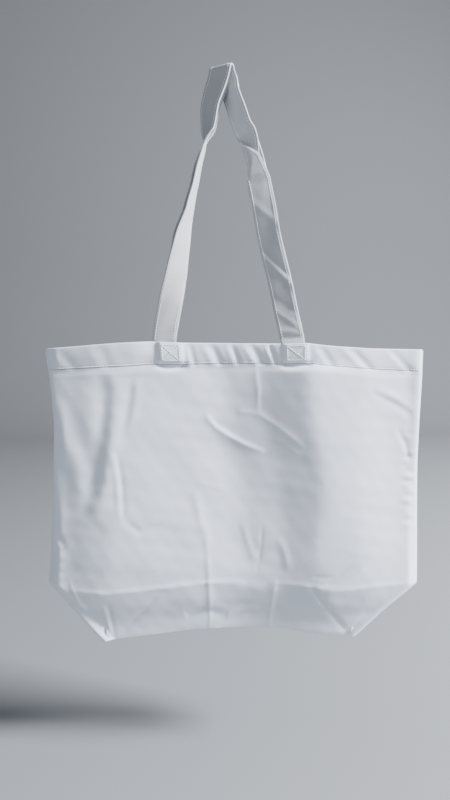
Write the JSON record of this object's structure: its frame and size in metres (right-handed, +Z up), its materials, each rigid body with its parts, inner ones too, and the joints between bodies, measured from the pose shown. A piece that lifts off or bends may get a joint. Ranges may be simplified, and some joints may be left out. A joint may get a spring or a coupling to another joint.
{
  "type": "canvas tote bag",
  "caption": "Plain flat canvas tote with a boxed bottom folded in, a stitched hem around its mouth and a long strap handle on each side.",
  "frame": {"origin": "on the line of the hook between the tops of the handle loops, in the middle of the bag's width and thickness", "axes": "+Z up from the bag to the hook, +X to the bag's right as seen from the front, front of the bag towards -Y"},
  "size_m": [0.44, 0.024, 0.6504],
  "materials": {
    "canvas": "plain woven cotton canvas, matt",
    "strap": "the same canvas, folded and pressed into a strap",
    "thread": "cotton sewing thread"
  },
  "bodies": {
    "bag": {"back_panel": "canvas", "back_hem": "canvas", "back_hem_stitching": "thread", "left_side_seam": "canvas", "right_side_seam": "canvas", "left_gusset": "canvas", "right_gusset": "canvas", "base_panel": "canvas", "left_corner_seam": "canvas", "right_corner_seam": "canvas", "back_handle_tabs": "strap", "back_tab_stitching": "thread"},
    "front": {"front_panel": "canvas", "front_hem": "canvas", "front_hem_stitching": "thread", "front_handle_tabs": "strap", "front_tab_stitching": "thread"},
    "front_handle": {"front_handle_loop": "strap", "front_handle_left_leg": "strap", "front_handle_right_leg": "strap"},
    "back_handle": {"back_handle_loop": "strap", "back_handle_left_leg": "strap", "back_handle_right_leg": "strap"}
  },
  "joints": [
    {"name": "mouth_open", "type": "hinge", "parent": "bag", "child": "front", "pos_m": [0, -0.0082, -0.645], "axis": [1, 0, 0], "range_deg": [0, 12]},
    {"name": "front_handle_fold", "type": "hinge", "parent": "front", "child": "front_handle", "pos_m": [0, -0.0086, -0.294], "axis": [1, 0, 0], "range_deg": [0, 165]},
    {"name": "back_handle_fold", "type": "hinge", "parent": "bag", "child": "back_handle", "pos_m": [0, 0.0086, -0.294], "axis": [-1, 0, 0], "range_deg": [0, 165]}
  ]
}
